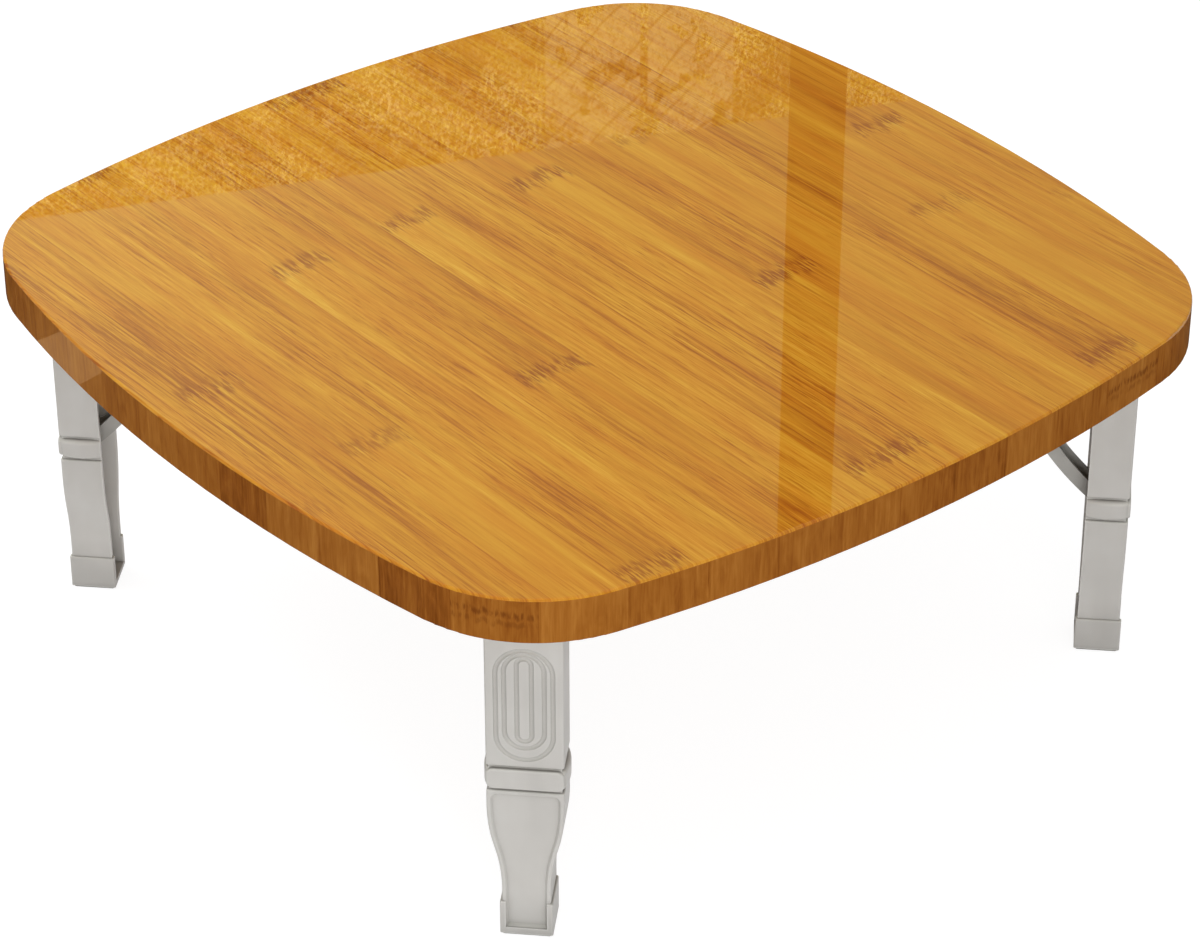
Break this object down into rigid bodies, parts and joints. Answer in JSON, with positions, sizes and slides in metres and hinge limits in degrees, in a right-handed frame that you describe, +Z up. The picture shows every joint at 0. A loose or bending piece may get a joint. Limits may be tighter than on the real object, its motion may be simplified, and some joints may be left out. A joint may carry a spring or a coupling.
{
  "type": "folding floor table",
  "caption": "Low square floor table with bowed sides, a glossy bamboo-look board and moulded corner legs that fold in under it on locking stays.",
  "frame": {"origin": "on the floor under the middle of the board", "axes": "+Z up; X and Y run square to the board's sides, so the legs stand on the diagonals; -Y is the front"},
  "size_m": [0.6, 0.6, 0.25],
  "materials": {
    "bamboo_face": "gloss lacquer over a bamboo-strip print",
    "fibreboard": "raw fibreboard",
    "backing": "plain balancing sheet",
    "wood_edge": "satin printed edge band",
    "leg_moulding": "satin warm grey moulding",
    "stay_paint": "grey enamel",
    "zinc_steel": "bright zinc plate",
    "pad_rubber": "matt non-slip"
  },
  "bodies": {
    "board": {"face_sheet": "bamboo_face", "core_board": "fibreboard", "back_sheet": "backing", "edge_band": "wood_edge", "hinge_rivets": "zinc_steel", "stay_pins": "zinc_steel", "stay_spacers": "zinc_steel", "bracket_screws": "zinc_steel", "bracket_front_right": "zinc_steel", "bracket_back_right": "zinc_steel", "bracket_back_left": "zinc_steel", "bracket_front_left": "zinc_steel"},
    "front_right_leg": {"leg_front_right": "leg_moulding", "latch_pin_front_right": "zinc_steel", "foot_pad_front_right": "pad_rubber"},
    "front_right_stay": {"stay_front_right": "stay_paint"},
    "back_right_leg": {"leg_back_right": "leg_moulding", "latch_pin_back_right": "zinc_steel", "foot_pad_back_right": "pad_rubber"},
    "back_right_stay": {"stay_back_right": "stay_paint"},
    "back_left_leg": {"leg_back_left": "leg_moulding", "latch_pin_back_left": "zinc_steel", "foot_pad_back_left": "pad_rubber"},
    "back_left_stay": {"stay_back_left": "stay_paint"},
    "front_left_leg": {"leg_front_left": "leg_moulding", "latch_pin_front_left": "zinc_steel", "foot_pad_front_left": "pad_rubber"},
    "front_left_stay": {"stay_front_left": "stay_paint"}
  },
  "joints": [
    {"name": "front_right_leg_fold", "type": "hinge", "parent": "board", "child": "front_right_leg", "pos_m": [0.22578, -0.22578, 0.2057], "axis": [0.7071, 0.7071, 0], "range_deg": [0, 90]},
    {"name": "front_right_stay_swing", "type": "hinge", "parent": "board", "child": "front_right_stay", "pos_m": [0.17932, -0.17932, 0.2097], "axis": [0.7071, 0.7071, 0], "range_deg": [0, 118.35]},
    {"name": "back_right_leg_fold", "type": "hinge", "parent": "board", "child": "back_right_leg", "pos_m": [0.22578, 0.22578, 0.2057], "axis": [-0.7071, 0.7071, 0], "range_deg": [0, 90]},
    {"name": "back_right_stay_swing", "type": "hinge", "parent": "board", "child": "back_right_stay", "pos_m": [0.17932, 0.17932, 0.2097], "axis": [-0.7071, 0.7071, 0], "range_deg": [0, 118.35]},
    {"name": "back_left_leg_fold", "type": "hinge", "parent": "board", "child": "back_left_leg", "pos_m": [-0.22578, 0.22578, 0.2057], "axis": [-0.7071, -0.7071, 0], "range_deg": [0, 90]},
    {"name": "back_left_stay_swing", "type": "hinge", "parent": "board", "child": "back_left_stay", "pos_m": [-0.17932, 0.17932, 0.2097], "axis": [-0.7071, -0.7071, 0], "range_deg": [0, 118.35]},
    {"name": "front_left_leg_fold", "type": "hinge", "parent": "board", "child": "front_left_leg", "pos_m": [-0.22578, -0.22578, 0.2057], "axis": [0.7071, -0.7071, 0], "range_deg": [0, 90]},
    {"name": "front_left_stay_swing", "type": "hinge", "parent": "board", "child": "front_left_stay", "pos_m": [-0.17932, -0.17932, 0.2097], "axis": [0.7071, -0.7071, 0], "range_deg": [0, 118.35]}
  ],
  "couplings": [
    {"joint": "front_right_stay_swing", "follows": "front_right_leg_fold", "ratio": 1.315},
    {"joint": "back_right_stay_swing", "follows": "back_right_leg_fold", "ratio": 1.315},
    {"joint": "back_left_stay_swing", "follows": "back_left_leg_fold", "ratio": 1.315},
    {"joint": "front_left_stay_swing", "follows": "front_left_leg_fold", "ratio": 1.315}
  ]
}
